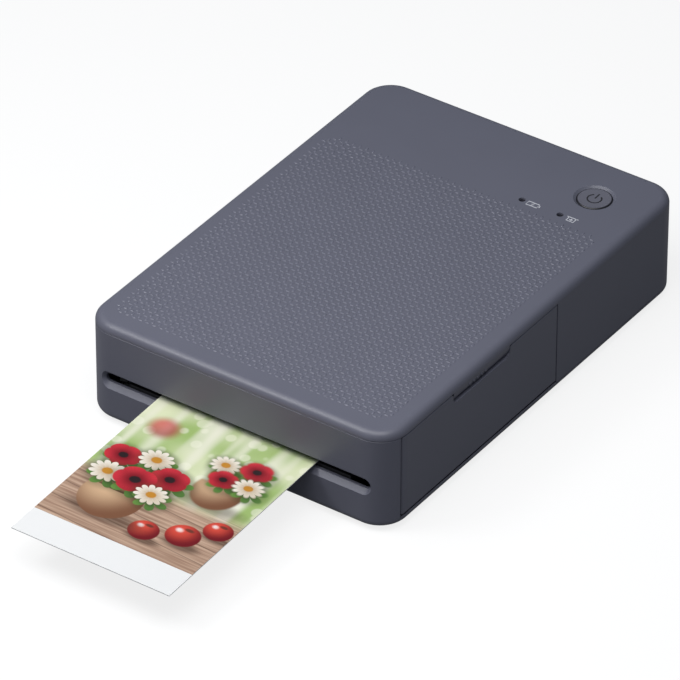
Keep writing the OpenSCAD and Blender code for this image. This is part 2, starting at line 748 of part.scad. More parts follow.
module left_side_plate() color(steel) placed() {
    difference() {
        side_plate(-1);
        for (p = concat([take_up_at], [supply_at]))
            rod([-plate_x - 2, -plate_x + 1], p, shaft_r + run);
        rod([-plate_x - 2, -plate_x + 1], motor_at, 2.05);
        for (p = stud_places) rod([-plate_x - 2, -plate_x + 1], p, stud_r);
    }
}

// Window for the cassette in the right plate
module right_side_plate() color(steel) placed() {
    difference() {
        side_plate(1);
        box([plate_x - 1, plate_x + 2],
            [take_up_at[0] - tube_r - 0.7, supply_at[0] + tube_r + 0.7],
            [cassette_z - 0.5, spool_z + tube_r + 0.6]);
        rod([plate_x - 1, plate_x + 2], lift_motor_at, 2.05);
    }
}

module lower_paper_guide() color(dark_plastic) placed() {
    run_y = [front_y + 17.4, bay_y1];
    drop = sheet_t / 2 + guide_gap;
    difference() {
        on_path() {
            box([-39.7, 39.7], [run_y[0] - front_y, run_y[1] - front_y], [-drop - guide_t, -drop]);
            for (i = [-3:3]) box([i * 9 - 0.4, i * 9 + 0.4],
                [run_y[0] - front_y, run_y[1] - front_y], [-drop - 0.1, -drop + 0.2]);
        }
        for (p = [[pickup_at, pickup_r], [platen_at, platen_r]])
            box([-roller_half - 1, roller_half + 1], [p[0][0] - p[1] - 0.6, p[0][0] + p[1] + 0.6],
                [-1, big]);
        for (p = [pickup_at, platen_at]) rod([-big, big], p, bush_r + 0.8);
    }
}

// Upper guide: a sloping web under level ribs that carry the battery and the board
module upper_paper_guide() color(dark_plastic) placed() {
    y0 = bay_y0 + 1;
    ends = [y0 - front_y, bay_y1 - front_y];
    on_path() box([-42.8, 42.8], ends, [upper_gap, upper_gap + guide_t]);
    intersection() {
        for (x = [-36, -24, -12, 0, 10, 16, 28, 40]) box([x - 0.6, x + 0.6], [y0, bay_y1],
            [path_at(y0), x > 14 ? board_z : shelf_z]);
        on_path() box([-50, 50], ends, [upper_gap + 0.1, 20]);
    }
}

// Exit guide: carries the sheet from the capstan to the slot, and turns a fresh sheet up to it
module exit_guide() color(dark_plastic) placed() {
    drop = sheet_t / 2 + guide_gap;
    ramp_r = capstan_r + 2;
    difference() {
        box([-37, 37], [inner_y + 0.7, capstan_at[0] + 1], [floor_z, path_z + 6]);
        on_path() box([-50, 50], [-10, 40], [-drop, 20]);
        rod([-50, 50], capstan_at, ramp_r);
        box([-50, 50], [capstan_at[0] - ramp_r * 0.6, capstan_at[0] + 9],
            [capstan_at[1] - ramp_r * 0.8, 30]);
        box([-50, 50], [capstan_at[0] - 2.5, capstan_at[0] + 9], [-1, 30]);
        // Hollows between the ribs, open to the front
        for (i = [-4:3]) box([i * 9 + 0.5, i * 9 + 8.5], [inner_y - 1, capstan_at[0] - ramp_r - 1.2],
            [floor_z + 1, path_z - 2.2]);
    }
}

// Rollers

module capstan_roller() color(steel) placed() {
    rod([-roller_half, roller_half], capstan_at, capstan_r);
    rod([plane_a - 0.2, plate_x + plate_t + 0.4], capstan_at, shaft_r);
}

// A gear pressed on the end of a roller's shaft
module shaft_gear(at, teeth, phase) {
    along_x(plane_a, at) difference() {
        gear(teeth, phase, gear_w);
        translate([0, 0, -1]) cylinder(r = shaft_r + 0.01, h = gear_w + 2);
    }
}

module capstan_gear() color(acetal) placed() {
    shaft_gear(capstan_at, capstan_teeth, capstan_phase);
}

module pinch_roller() color(rubber) placed() {
    for (x = [-20, 0, 20]) rod([x - 7, x + 7], pinch_at, pinch_r);
    rod([-plate_x - plate_t - 0.1, plate_x + plate_t + 0.1], pinch_at, pinch_shaft_r);
}

module pickup_roller() color(rubber) placed() {
    for (x = [-12, 12]) rod([x - 6, x + 6], pickup_at, pickup_r);
    rod([plane_a - 0.2, plate_x + plate_t + 0.4], pickup_at, shaft_r);
}

module pickup_gear() color(acetal) placed() {
    shaft_gear(pickup_at, pickup_teeth, pickup_phase);
}

module platen_roller() color(rubber) placed() {
    rod([-roller_half, roller_half], platen_at, platen_r);
    rod([-plate_x - plate_t - 0.2, plate_x + plate_t + 0.4], platen_at, shaft_r);
}

module shaft_bushes() color(acetal) placed() {
    for (p = [capstan_at, pickup_at, platen_at, cam_at], s = [-1, 1]) difference() {
        union() {
            rod([s * (plate_x + plate_t / 2) - 0.5, s * (plate_x + plate_t / 2) + 0.5], p,
                bush_r - 0.01);
            rod([s * (plate_x - 0.4) - 0.4, s * (plate_x - 0.4) + 0.4], p, bush_r + 0.5);
        }
        rod([s * plate_x - 3, s * plate_x + 3], p, shaft_r + run);
    }
}

// Gear train on the left side plate

stud_places = [pickup_idler_at, capstan_idler_at, front_idler_at, middle_idler_at,
    rear_idler_at, reduction_at];

module gear_studs() color(steel) placed() {
    for (i = [0:5]) {
        end = i == 5 ? plane_b - 0.3 : plane_a - 0.3;
        rod([end, -plate_x], stud_places[i], stud_r - 0.005);
        rod([end - 0.5, end], stud_places[i], stud_r + 0.5);
    }
}

module pickup_idler_gear() color(acetal) placed() {
    idler(pickup_idler_at, pickup_idler_teeth, pickup_idler_phase);
}

module capstan_idler_gear() color(acetal) placed() {
    idler(capstan_idler_at, capstan_idler_teeth, capstan_idler_phase);
}

// Gear, shaft and splined dog that turn the take-up spool
module take_up_drive_gear() color(acetal) placed() {
    along_x(plane_a, take_up_at) {
        gear(take_up_teeth, take_up_phase, gear_w);
        cylinder(r = shaft_r, h = -plane_a - cassette_half + 3);
        translate([0, 0, -plane_a - plate_x + 0.3]) cylinder(r = 2.3, h = plate_x - cassette_half - 0.6);
    }
    for (a = [0:60:300]) along_x(-plate_x + 0.6, take_up_at) rotate(a)
        translate([-0.4, 0, 0]) cube([0.8, 2.3, plate_x - cassette_half + 3]);
}

module front_idler_gear() color(acetal) placed() {
    idler(front_idler_at, idler_teeth, front_idler_phase);
}

module middle_idler_gear() color(acetal) placed() {
    idler(middle_idler_at, idler_teeth, middle_idler_phase);
}

module rear_idler_gear() color(acetal) placed() {
    idler(rear_idler_at, idler_teeth, rear_idler_phase);
}

module reduction_gear() color(acetal) placed() {
    along_x(plane_b, reduction_at) difference() {
        union() {
            gear(reduction_big, 0, gear_w);
            cylinder(r = stud_r + 1.4, h = gear_w + 0.4);
            translate([0, 0, gear_w + 0.3]) gear(reduction_small, reduction_phase, gear_w);
        }
        translate([0, 0, -1]) cylinder(r = stud_r + run, h = 2 * gear_w + 4);
        gear_web(reduction_big);
    }
}

module motor_pinion() color(acetal) placed() {
    along_x(plane_b, motor_at) gear(pinion_teeth, pinion_phase, gear_w);
    rod([plane_b - 0.3, -plate_x + 2], motor_at, 0.75);
}

// Motor can with its flange against the side plate and its boss in it
module motor_can(s, at, r, l) {
    difference() {
        union() {
            rod([min(s * plate_x, s * (plate_x - l)), max(s * plate_x, s * (plate_x - l))], at, r);
            rod([s * (plate_x + 0.5) - 0.5, s * (plate_x + 0.5) + 0.5], at, 2);
        }
        rod([s * (plate_x - 1) - 3, s * (plate_x - 1) + 3], at, 0.75 + run);
        rod([min(s * (plate_x - 2), s * (plate_x - 3)), max(s * (plate_x - 2), s * (plate_x - 3))],
            at, 2.4);
    }
}

module feed_motor() color(steel) placed() {
    motor_can(-1, motor_at, 6, 15.5);
    box([-plate_x + 16 - 0.6, -plate_x + 19], [motor_at[0] - 3, motor_at[0] + 3],
        [motor_at[1] - 3, motor_at[1] + 3]);
}

module lift_motor() color(steel) placed() {
    motor_can(1, lift_motor_at, 5, 15.5);
    box([plate_x - 19, plate_x - 15.4], [lift_motor_at[0] - 3, lift_motor_at[0] + 3],
        [lift_motor_at[1] - 3, lift_motor_at[1] + 3]);
}

module lift_pinion() color(acetal) placed() {
    along_x(plate_x + plate_t + 0.6, lift_motor_at) gear(pinion_teeth, lift_pinion_phase, gear_w);
    rod([plate_x - 2, plate_x + plate_t + gear_w + 0.9], lift_motor_at, 0.75);
}

module cam_gear() color(acetal) placed() {
    along_x(plate_x + plate_t + 0.6, cam_at) difference() {
        gear(cam_teeth, 0, gear_w);
        translate([0, 0, -1]) cylinder(r = shaft_r + 0.01, h = gear_w + 2);
    }
}

// Cam shaft: two eccentrics under the tails of the head's lever
module head_cam_shaft() color(steel) placed() {
    rod([-plate_x - plate_t - 0.2, plate_x + plate_t + gear_w + 0.8], cam_at, shaft_r);
    for (x = [-37, 37]) rod([x - 1, x + 1], cam_at - [0, cam_throw], cam_r);
}

// Thermal head

// Lever that carries the head: a plate over the cassette with a flange at each end
module head_stay() color(steel) placed() {
    difference() {
        union() {
            box([-flange_x - 1, flange_x + 1], [platen_at[0] - 6, pivot_at[0] - 2.1],
                [stay_z, stay_z + stay_t]);
            for (x = [-flange_x - 0.5, flange_x + 0.5]) {
                box([x - 0.5, x + 0.5], [pivot_at[0] - 6, pivot_at[0] + 2.6],
                    [cam_at[1] + 3, stay_z + stay_t]);
                box([x - 0.5, x + 0.5], [pivot_at[0] - 2, cam_at[0] + 2.6],
                    [cam_at[1] + 3, stay_z + 0.2]);
            }
        }
        rod([-50, 50], pivot_at, pivot_r + run);
        // Lightening holes
        for (x = [-24, -8, 8, 24]) translate([x, (platen_at[0] + supply_at[0]) / 2 + 4, 0])
            linear_extrude(big) rounded_rect(10, 6, 2);
    }
}

// Finned heat sink, ceramic board and the raised bead that prints
module thermal_head() color([0.8, 0.8, 0.82]) placed() {
    y = platen_at[0];
    difference() {
        box([-head_half, head_half], [y - 4.5, y + 4.5], [head_bottom + 1.3, stay_z]);
        for (i = [-4:4]) box([-head_half + 4, head_half - 4], [y + i - 0.25, y + i + 0.25],
            [head_bottom + 3.6, stay_z - 1.6]);
        box([-head_half - 1, head_half + 1], [y - 5, y - 3], [head_bottom + 3.6, stay_z - 1.6]);
    }
    box([-head_half, head_half], [y - 5, y + 5], [head_bottom + 0.6, head_bottom + 1.4]);
    rod([-head_half + 2, head_half - 2], [y, head_bottom + 1.2], 1.2);
}

module head_pivot_shaft() color(steel) placed() {
    rod([-plate_x - plate_t, plate_x + plate_t], pivot_at, pivot_r);
}

// Ribbon cassette

// One spool tube: a ring in section, open at the bottom towards the head
module spool_tube(at, s) {
    along_x(-cassette_half, at) difference() {
        linear_extrude(2 * cassette_half) difference() {
            circle(tube_r);
            circle(tube_r - tube_wall);
            translate([s > 0 ? 0 : -9, -9]) square([9, 9.2]);
        }
    }
}

module cassette_frame() color([0.2, 0.2, 0.22]) placed() {
    mid = (take_up_at[0] + supply_at[0]) / 2;
    difference() {
        union() {
            spool_tube(take_up_at, 1);
            spool_tube(supply_at, -1);
            // End walls, the left one low so that it passes under the head
            for (p = [take_up_at, supply_at]) {
                rod([-cassette_half, -cassette_half + 1.2], p, tube_r);
                rod([cassette_half - 1.2, cassette_half], p, tube_r);
            }
            box([-cassette_half, -cassette_half + 1.2], [take_up_at[0], supply_at[0]],
                [cassette_z, cassette_z + 1]);
            box([cassette_half - 1.2, cassette_half], [take_up_at[0], supply_at[0]],
                [cassette_z, spool_z + tube_r - 1.2]);
            // Grip that points to the door
            box([cassette_half - 0.2, grip_x], [mid - 11, mid - 9.8], [cassette_z + 1, spool_z + 4]);
            box([cassette_half - 0.2, grip_x], [mid + 9.8, mid + 11], [cassette_z + 1, spool_z + 4]);
            box([grip_x - 1.2, grip_x], [mid - 11, mid + 11], [cassette_z + 1, spool_z + 4]);
            for (i = [-2:2]) rod([grip_x - 3, grip_x], [mid + i * 3, spool_z - 0.5], 0.7);
        }
        for (p = [take_up_at, supply_at]) {
            rod([-cassette_half - 1, -cassette_half + 3], p, core_r + run);
            rod([cassette_half - 3, cassette_half + 1], p, shaft_r + run);
        }
    }
}

// A spool: wound roll, hollow driven end and stub at the other end
module spool(at, roll_r) {
    difference() {
        union() {
            rod([-cassette_half + 1.5, cassette_half - 1.5], at, core_r);
            rod([-roller_half - 1, roller_half + 1], at, roll_r);
            rod([-cassette_half, -cassette_half + 2], at, core_r);
            rod([cassette_half - 2, cassette_half - 0.1], at, shaft_r);
        }
        rod([-cassette_half - 1, -cassette_half + 5], at, core_bore);
    }
}

module supply_spool() color([0.62, 0.2, 0.3]) placed() {
    spool(supply_at, supply_roll_r);
}

module take_up_spool() color([0.25, 0.25, 0.27]) placed() {
    spool(take_up_at, take_up_roll_r);
}

module supply_hub() color(acetal) placed() {
    rod([-plate_x - plate_t, -cassette_half + 3], supply_at, shaft_r);
    rod([-plate_x, -cassette_half - 0.4], supply_at, 2.3);
}

// Ribbon between the rolls: a flat run under the head, and up the inner side of each roll
module ribbon_film() color([0.3, 0.25, 0.35]) placed() {
    y0 = take_up_at[0] + tube_r + 0.4;
    y1 = supply_at[0] - tube_r - 0.4;
    roll0 = take_up_at[0] + take_up_roll_r + 0.1;
    roll1 = supply_at[0] - supply_roll_r - 0.1;
    along_x(-roller_half, [0, 0]) linear_extrude(2 * roller_half) polygon([
        [roll0, spool_z], [y0, film_z], [y1, film_z], [roll1, spool_z],
        [roll1 - film_t, spool_z], [y1 - film_t, film_z + film_t], [y0 + film_t, film_z + film_t],
        [roll0 + film_t, spool_z]]);
}

// Paper

module paper_stack() color([0.97, 0.97, 0.96]) placed() {
    box([-sheet_w / 2, sheet_w / 2], [stack_y0, stack_y1], [stack_z, stack_z + stack_h]);
}

// Sprung plate on the cover that lifts the front of the stack
module lift_plate() color(steel) placed() {
    z = stack_z - 0.1 - lift_t;
    box([-sheet_w / 2 + 1, sheet_w / 2 - 1], [lift_y0, lift_y1], [z, z + lift_t]);
    rod([-rail_x - 1, rail_x + 1], [lift_y1, stack_z - lift_t - 0.25], lift_pin_r);
}

// Bowed leaf under the lift plate
module lift_spring() color(steel) placed() {
    y = (lift_y0 + lift_y1) / 2;
    r = 140;
    top = stack_z - lift_t - 0.4;
    intersection() {
        difference() {
            rod([-8, 8], [y, top - r], r, $fn = 400);
            rod([-9, 9], [y, top - r], r - 0.2, $fn = 400);
        }
        box([-8, 8], [y - 12, y + 12], [floor_z, floor_z + 3]);
    }
}

module print_sheet() color([0.96, 0.96, 0.95]) placed() {
    on_path() box([-sheet_w / 2, sheet_w / 2],
        [-sheet_out / cos(path_angle), sheet_l - sheet_out / cos(path_angle)],
        [-sheet_t / 2, sheet_t / 2]);
}

// Electronics

module main_board() color([0.1, 0.3, 0.16]) placed() {
    z = board_z + board_t;
    box([board_x0, board_x1], [bay_y0 + 4, bay_y1 + 1], [board_z, z]);
    box([19, 27], [bay_y0 + 10, bay_y0 + 18], [z, z + 1]);
    box([31, 37], [bay_y0 + 12, bay_y0 + 18], [z, z + 1.2]);
    box([17, 27], [bay_y0 + 4.5, bay_y0 + 8.5], [z, z + 1.8]);
    for (p = lamp_at) box([p[0] - 0.8, p[0] + 0.8], [p[1] - 0.4, p[1] + 0.4], [z, z + 0.6]);
    for (i = [0:4]) box([29 + i * 2, 30 + i * 2], [bay_y0 + 8, bay_y0 + 8.6], [z, z + 0.6]);
}

module power_switch() color([0.2, 0.2, 0.2]) placed() {
    z = board_z + board_t;
    box([button_at[0] - 3, button_at[0] + 3], [button_at[1] - 3, button_at[1] + 3], [z, z + 2]);
    translate([button_at[0], button_at[1], z + 1.9]) cylinder(r = 1.6, h = switch_top - z - 1.9);
}

module usb_socket() color(steel) placed() {
    translate([usb_x, bay_y1 - 3, board_z + board_t + 1.6]) rotate([-90, 0, 0]) difference() {
        linear_extrude(rear_y - wall - bay_y1 + 3.6) stadium(8.9, 3.18);
        translate([0, 0, 1]) linear_extrude(20) stadium(8.3, 2.5);
    }
    box([usb_x - 3.2, usb_x + 3.2], [bay_y1 - 3 + 0.6, rear_y - wall + 0.3],
        [board_z + board_t + 1.3, board_z + board_t + 1.9]);
}

module battery_pack() color([0.12, 0.2, 0.4]) placed() {
    h = roof_z - 0.8 - shelf_z;
    translate([-12.5, (bay_y0 + bay_y1) / 2 + 1, shelf_z + 0.01]) linear_extrude(h)
        rounded_rect(47, bay_y1 - bay_y0 - 5, 2.5);
}

// Flat cable from the head's lever to the board
module head_cable() color([0.85, 0.85, 0.8]) placed() {
    y0 = cam_at[0] + 0.5;
    y1 = bay_y0 + 6;
    z0 = stay_z + 0.7;
    z1 = board_z + board_t + 1.9;
    along_x(17.5, [0, 0]) linear_extrude(9) polygon([[pivot_at[0] - 1.2, z0], [y0, z0],
        [y1 - 5, z1 + 2.1], [y1, z1 + 0.2], [y1, z1], [y1 - 5.2, z1 + 1.9], [y0, z0 - 0.2],
        [pivot_at[0] - 1.2, z0 - 0.2]]);
}

top_casing();
front_panel();
base_tray();
cassette_door();
door_hinge_pins();
paper_cover();
paper_cover_pins();
rubber_feet();
casing_screws();
power_button();
status_lights();
left_side_plate();
right_side_plate();
lower_paper_guide();
upper_paper_guide();
exit_guide();
capstan_roller();
capstan_gear();
pinch_roller();
pickup_roller();
pickup_gear();
platen_roller();
shaft_bushes();
gear_studs();
pickup_idler_gear();
capstan_idler_gear();
take_up_drive_gear();
front_idler_gear();
middle_idler_gear();
rear_idler_gear();
reduction_gear();
motor_pinion();
feed_motor();
head_stay();
thermal_head();
head_pivot_shaft();
head_cam_shaft();
cam_gear();
lift_motor();
lift_pinion();
cassette_frame();
supply_spool();
take_up_spool();
supply_hub();
ribbon_film();
paper_stack();
lift_plate();
lift_spring();
print_sheet();
main_board();
power_switch();
usb_socket();
battery_pack();
head_cable();
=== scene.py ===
"""Compact photo printer with a card-size print coming out of its front slot."""
import math

import bpy
from mathutils import Matrix, Vector


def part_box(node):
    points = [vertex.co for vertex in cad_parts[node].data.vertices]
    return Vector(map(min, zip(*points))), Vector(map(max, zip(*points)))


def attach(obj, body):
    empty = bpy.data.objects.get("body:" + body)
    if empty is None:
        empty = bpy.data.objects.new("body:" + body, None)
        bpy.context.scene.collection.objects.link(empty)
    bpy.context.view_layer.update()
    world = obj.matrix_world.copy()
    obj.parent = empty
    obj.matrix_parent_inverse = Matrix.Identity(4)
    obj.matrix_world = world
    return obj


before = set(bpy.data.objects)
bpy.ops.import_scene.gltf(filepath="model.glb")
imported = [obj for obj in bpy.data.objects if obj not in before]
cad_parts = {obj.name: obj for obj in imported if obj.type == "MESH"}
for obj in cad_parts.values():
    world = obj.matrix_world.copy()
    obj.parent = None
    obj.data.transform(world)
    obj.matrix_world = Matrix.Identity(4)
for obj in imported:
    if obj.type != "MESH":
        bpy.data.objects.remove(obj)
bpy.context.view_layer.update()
MM = 0.001

# ---------------------------------------------------------------------------------------------
# Casing: top, front panel, base, cassette door and paper cover.
# Injection-moulded ABS in slate grey, one colour throughout the mass. The tool's spark-eroded
# surface leaves a fine satin grain, which spreads highlights along the rounded edges.

TOP_Z = 32.9
SIDE_X = 51.1
RIM_HEIGHT = 2.5
# The body's middle lies this far behind the origin, which is the middle of body and print
BODY_Y = 33.15


def linear(hex_colour):
    """sRGB hex colour as the linear RGBA that a shader takes."""
    values = [int(hex_colour[i:i + 2], 16) / 255 for i in (1, 3, 5)]
    return [v / 12.92 if v <= 0.04045 else ((v + 0.055) / 1.055) ** 2.4 for v in values] + [1.0]


def put(tree, kind, sockets=None, **settings):
    """Add a node; sockets gives each input a value, or another node's output to link."""
    made = tree.nodes.new(kind)
    for name, value in settings.items():
        setattr(made, name, value)
    for name, value in (sockets or {}).items():
        if isinstance(value, bpy.types.NodeSocket):
            tree.links.new(value, made.inputs[name])
        else:
            made.inputs[name].default_value = value
    return made


def start_material(name):
    """New material with its Principled shader, and the object coordinates in millimetres."""
    material = bpy.data.materials.new(name)
    material.use_nodes = True
    tree = material.node_tree
    shader = tree.nodes["Principled BSDF"]
    place = put(tree, "ShaderNodeTexCoord")
    scaled = put(tree, "ShaderNodeVectorMath", {0: place.outputs["Object"], "Scale": 1 / MM},
                 operation="SCALE")
    return material, tree, shader, scaled.outputs[0]


def finish_node(node, material):
    """Give a CAD node's object one material in all its slots."""
    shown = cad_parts[node]
    for slot in range(max(1, len(shown.material_slots))):
        if slot < len(shown.material_slots):
            shown.material_slots[slot].material = material
        else:
            shown.data.materials.append(material)


def moulded_plastic(name, colour, roughness, grain_mm, grain_height, tint=0.04):
    """Plastic with a spark-eroded grain and a slight unevenness of tone."""
    material, tree, shader, mm = start_material(name)
    cloud = put(tree, "ShaderNodeTexNoise", {"Vector": mm, "Scale": 1 / 18, "Detail": 3})
    dark = [c * (1 - tint) for c in linear(colour)[:3]] + [1]
    light = [c * (1 + tint) for c in linear(colour)[:3]] + [1]
    tone = put(tree, "ShaderNodeMix", {"Factor": cloud.outputs["Fac"], "A": dark, "B": light},
               data_type="RGBA")
    tree.links.new(tone.outputs[2], shader.inputs["Base Color"])
    grain = put(tree, "ShaderNodeTexNoise", {"Vector": mm, "Scale": 1 / grain_mm, "Detail": 2})
    soft_edge = put(tree, "ShaderNodeBevel", {"Radius": 0.12 * MM}, samples=4)
    relief = put(tree, "ShaderNodeBump", {"Height": grain.outputs["Fac"], "Strength": 0.5,
                                          "Distance": grain_height * MM,
                                          "Normal": soft_edge.outputs[0]})
    tree.links.new(relief.outputs[0], shader.inputs["Normal"])
    shader.inputs["Roughness"].default_value = roughness
    shader.inputs["IOR"].default_value = 1.5
    return material


# Grain of the casing: 0.35 mm, drawn a little coarser than the real 0.1 mm so that it shows
abs_casing = moulded_plastic("ABS moulded slate", "#696a77", 0.38, 0.35, 0.03)
for node in ("top_casing", "front_panel", "base_tray", "cassette_door", "paper_cover"):
    finish_node(node, abs_casing)

# Grip texture: low round-backed dashes in a basket weave, moulded with the top. Pitch, length
# and width of a dash and the edges of the field (left, right, front, rear) are in millimetres.
WEAVE_PITCH = 2.291
DASH = (1.3, 0.66)
DASH_RISE = 0.17
# Each ring of a dash, from foot to crown: how far it is grown, and its share of the rise
DASH_PROFILE = ((-0.07, 0.56), (-0.17, 0.9), (-0.28, 1.0))
FOOT_GROWTH = 0.03
SUNK = 0.02
FIELD = (-46.0, 45.2, -65.7 + BODY_Y, 39.3 + BODY_Y)
FIELD_CORNER = 3.5
FIRST_ROW = 0.35


def in_field(x, y):
    """True where the textured field, a rectangle with round corners, covers a point."""
    dx = max(FIELD[0] + FIELD_CORNER - x, x - FIELD[1] + FIELD_CORNER, 0)
    dy = max(FIELD[2] + FIELD_CORNER - y, y - FIELD[3] + FIELD_CORNER, 0)
    return math.hypot(dx, dy) <= FIELD_CORNER


def dash_rings():
    """Outline of one dash as rings from its foot to its crown, around the origin."""
    rings = []
    straight = (DASH[0] - DASH[1]) / 2
    corners = [math.radians(v) for v in (22, 67, 113, 158, 202, 247, 293, 338)]
    for grow, z in [(FOOT_GROWTH, -SUNK)] + [(g, DASH_RISE * share) for g, share in DASH_PROFILE]:
        radius = DASH[1] / 2 + grow
        rings.append([(math.copysign(straight, math.cos(a)) + radius * math.cos(a),
                       radius * math.sin(a), z) for a in corners])
    return rings


def stacked_rings(base, ring_count, corners):
    """Faces of a low dome whose rings of points follow each other, closed at its crown."""
    faces = []
    for ring in range(ring_count - 1):
        low, high = base + ring * corners, base + (ring + 1) * corners
        faces += [(low + a, low + (a + 1) % corners, high + (a + 1) % corners, high + a)
                  for a in range(corners)]
    crown = base + (ring_count - 1) * corners
    faces.append(tuple(range(crown, crown + corners)))
    return faces


def weave_mesh():
    """All dashes of the field: one row along X, and one turned along Y between its dashes."""
    rings = dash_rings()
    points, faces = [], []
    columns = int((FIELD[1] - FIELD[0]) / WEAVE_PITCH) + 1
    rows = int((FIELD[3] - FIELD[2]) / WEAVE_PITCH) + 1
    for i in range(-columns // 2 - 1, columns // 2 + 2):
        for j in range(rows + 1):
            for turned in (0, 1):
                x = (i + turned / 2) * WEAVE_PITCH
                y = FIELD[2] + FIRST_ROW + (j + turned / 2) * WEAVE_PITCH
                if not in_field(x, y):
                    continue
                base = len(points)
                for ring in rings:
                    points += [((x - v if turned else x + u) * MM,
                                (y + u if turned else y + v) * MM, (TOP_Z + z) * MM)
                               for u, v, z in ring]
                faces += stacked_rings(base, len(rings), len(rings[0]))
    return points, faces


def add_piece(name, points, faces, material, smooth=True):
    """New mesh object, made of points in metres, with one material."""
    mesh = bpy.data.meshes.new(name)
    mesh.from_pydata(points, [], faces)
    mesh.validate()
    mesh.materials.append(material)
    if smooth:
        mesh.shade_smooth()
    made = bpy.data.objects.new(name, mesh)
    bpy.context.scene.collection.objects.link(made)
    return made


# The tool is polished in the dashes, so they catch a little more light than the field, and their
# colour is painted a little lighter than the field's as a painted highlight
abs_grip_painted_highlight = moulded_plastic("ABS moulded slate polished with painted highlight", "#6e6f7d", 0.3, 0.35, 0.01)
grip_texture = add_piece("grip_texture", *weave_mesh(), abs_grip_painted_highlight)
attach(grip_texture, "casing")

# Two rows of small bumps in the rolled edge over the door's notch: a fingertip's hold. The
# edge is rolled round an axis along Y, and each row lies at its own slope below that axis.
PULL_ROLL = 5.47
PULL_AXIS = (SIDE_X - PULL_ROLL, TOP_Z - RIM_HEIGHT)
PULL_MIDDLE = 3.0
ROW_SLOPES = (13, 23)
BUMPS_IN_ROW = 5
BUMP_STEP = 1.9
BUMP_PROFILE = ((0.5, -0.03), (0.42, 0.1), (0.26, 0.19), (0.1, 0.22))
BUMP_CORNERS = 8


def pull_bumps():
    points, faces = [], []
    for row, slope in enumerate(ROW_SLOPES):
        for k in range(BUMPS_IN_ROW):
            y = PULL_MIDDLE + (k - BUMPS_IN_ROW // 2 + row / 2) * BUMP_STEP
            faces += stacked_rings(len(points), len(BUMP_PROFILE), BUMP_CORNERS)
            for reach, rise in BUMP_PROFILE:
                out = PULL_ROLL + rise
                for corner in range(BUMP_CORNERS):
                    turn = 2 * math.pi * corner / BUMP_CORNERS
                    tilt = math.radians(slope) + reach * math.cos(turn) / PULL_ROLL
                    points.append(((PULL_AXIS[0] + out * math.cos(tilt)) * MM,
                                   (y + reach * math.sin(turn)) * MM,
                                   (PULL_AXIS[1] - out * math.sin(tilt)) * MM))
    return points, faces


pull_grip = add_piece("pull_grip", *pull_bumps(), abs_casing)
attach(pull_grip, "casing")

# ---------------------------------------------------------------------------------------------
# Power button and status lights.
# The button is ABS of the casing's colour with a finer grain on its dished face. Its symbol is
# cut by laser, which leaves a dark matt line. The lights are smoked acrylic pipes, near black.

BUTTON = (33.0, 55.6 + BODY_Y)

abs_button = moulded_plastic("ABS button slate", "#6a6a75", 0.38, 0.3, 0.015)
# Little light reaches the gap round the button, so the last 0.3 mm of its face is darker
SHADED_FROM, SHADED_FULLY = 4.68, 4.85
tree = abs_button.node_tree
shader = tree.nodes["Principled BSDF"]
plain = shader.inputs["Base Color"].links[0].from_socket
from_axis = put(tree, "ShaderNodeVectorMath",
                {0: put(tree, "ShaderNodeTexCoord").outputs["Object"],
                 1: (BUTTON[0] * MM, BUTTON[1] * MM, 0)}, operation="SUBTRACT")
flat = put(tree, "ShaderNodeVectorMath", {0: from_axis.outputs[0], 1: (1 / MM, 1 / MM, 0)},
           operation="MULTIPLY")
away = put(tree, "ShaderNodeVectorMath", {0: flat.outputs[0]}, operation="LENGTH")
shaded = put(tree, "ShaderNodeMapRange", {"Value": away.outputs["Value"],
                                          "From Min": SHADED_FROM, "From Max": SHADED_FULLY},
             interpolation_type="SMOOTHSTEP")
rimmed = put(tree, "ShaderNodeMix", {"Factor": shaded.outputs[0], "A": plain,
                                     "B": linear("#27272d")}, data_type="RGBA")
tree.links.new(rimmed.outputs[2], shader.inputs["Base Color"])
finish_node("power_button", abs_button)

smoked, tree, shader, mm = start_material("acrylic smoked")
swirl = put(tree, "ShaderNodeTexNoise", {"Vector": mm, "Scale": 1.5})
shade = put(tree, "ShaderNodeMix", {"Factor": swirl.outputs["Fac"], "A": linear("#1a1a20"),
                                    "B": linear("#2a2a32")}, data_type="RGBA")
tree.links.new(shade.outputs[2], shader.inputs["Base Color"])
shader.inputs["Roughness"].default_value = 0.12
shader.inputs["IOR"].default_value = 1.49
finish_node("status_lights", smoked)

# Laser-cut marks: a dark matt line for the power symbol, a light grey one beside the lights
mark_dark = moulded_plastic("laser mark dark", "#242429", 0.7, 0.2, 0.01)
mark_light = moulded_plastic("printed mark light grey", "#d9dae0", 0.6, 0.2, 0.005)


def ribbon_mesh(path, width, z, closed=False):
    """Flat stroke along a path of points, given in millimetres at one height or z(x, y)."""
    points, faces = [], []
    count = len(path)
    for k, (x, y) in enumerate(path):
        ahead = path[(k + 1) % count] if closed or k < count - 1 else path[k]
        behind = path[k - 1] if closed or k > 0 else path[k]
        along = Vector((ahead[0] - behind[0], ahead[1] - behind[1])).normalized()
        for side in (-width / 2, width / 2):
            px, py = x - along.y * side, y + along.x * side
            height = z(px, py) if callable(z) else z
            points.append((px * MM, py * MM, height * MM))
    last = count if closed else count - 1
    for k in range(last):
        a, b = 2 * k, 2 * ((k + 1) % count)
        faces.append((a + 1, a, b, b + 1))
    return points, faces


def arc(cx, cy, r, first, last, steps):
    """Points along an arc, from its first to its last angle in degrees."""
    return [(cx + r * math.cos(math.radians(first + (last - first) * k / steps)),
             cy + r * math.sin(math.radians(first + (last - first) * k / steps)))
            for k in range(steps + 1)]


DISH_RADIUS = 60.0
DISH_Z = TOP_Z - 0.46
# A printed or laser-cut mark lies this far above its surface, so that it isn't hidden in it
MARK_LIFT = 0.012
SYMBOL_STROKE = 0.45
SYMBOL_RADIUS = 2.05


